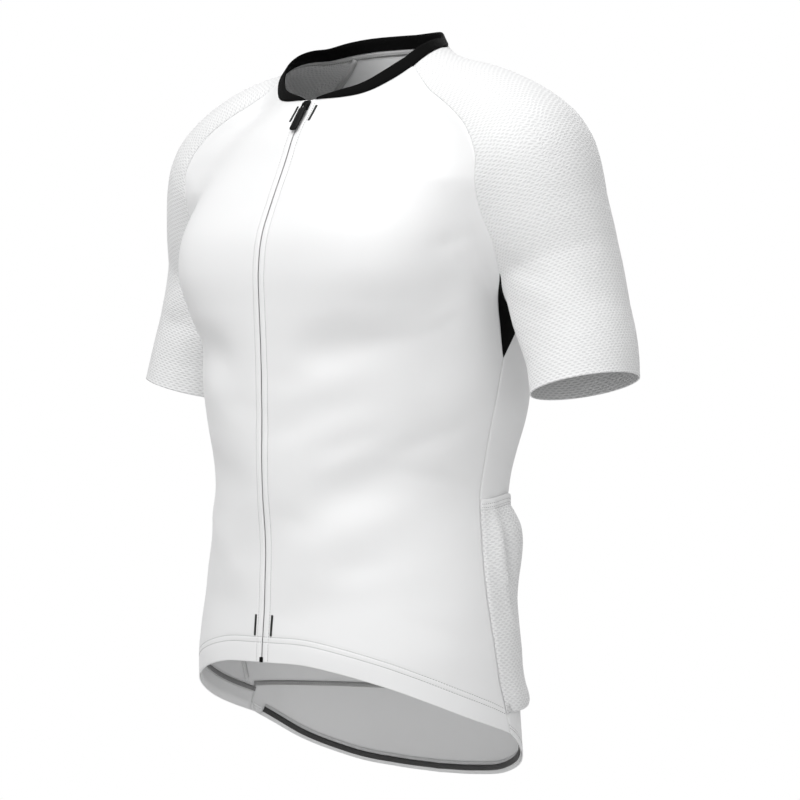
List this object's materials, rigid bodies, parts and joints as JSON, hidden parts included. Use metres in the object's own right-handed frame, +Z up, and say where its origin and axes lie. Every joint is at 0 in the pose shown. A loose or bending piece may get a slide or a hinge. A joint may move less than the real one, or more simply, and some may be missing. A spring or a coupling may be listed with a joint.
{
  "type": "short-sleeve cycling jersey",
  "caption": "White short-sleeve cycling jersey, filled out as worn: front zip, low black collar, raglan mesh sleeves, dropped tail and rear pockets.",
  "frame": {"origin": "centre of the neck opening at shoulder height, where the wearer carries the garment", "axes": "+Z up, the front faces -Y, +X is the wearer's left"},
  "size_m": [0.6202, 0.2703, 0.7181],
  "materials": {
    "white_knit": "smooth matt knit with a faint sheen",
    "white_mesh": "fine dimpled mesh knit",
    "black_knit": "matt black knit",
    "grey_elastic": "ribbed gripper elastic",
    "white_tape": "woven zip tape",
    "black_plastic": "moulded, slightly glossy"
  },
  "bodies": {
    "jersey": {"front_left": "white_knit", "front_right": "white_knit", "back": "white_knit", "sleeve_left": "white_mesh", "sleeve_right": "white_mesh", "gusset_left": "black_knit", "gusset_right": "black_knit", "collar": "black_knit", "pocket_panel": "white_mesh", "pocket_band": "white_knit", "back_gripper": "grey_elastic", "zip_tape": "white_tape", "zip_slider": "black_plastic", "zip_stop": "black_plastic"},
    "pull_tab": {"zip_pull": "black_plastic"}
  },
  "joints": [
    {"name": "pull_hinge", "type": "hinge", "parent": "jersey", "child": "pull_tab", "pos_m": [0, -0.07593, -0.04318], "axis": [-1, 0, 0], "range_deg": [0, 150]}
  ]
}
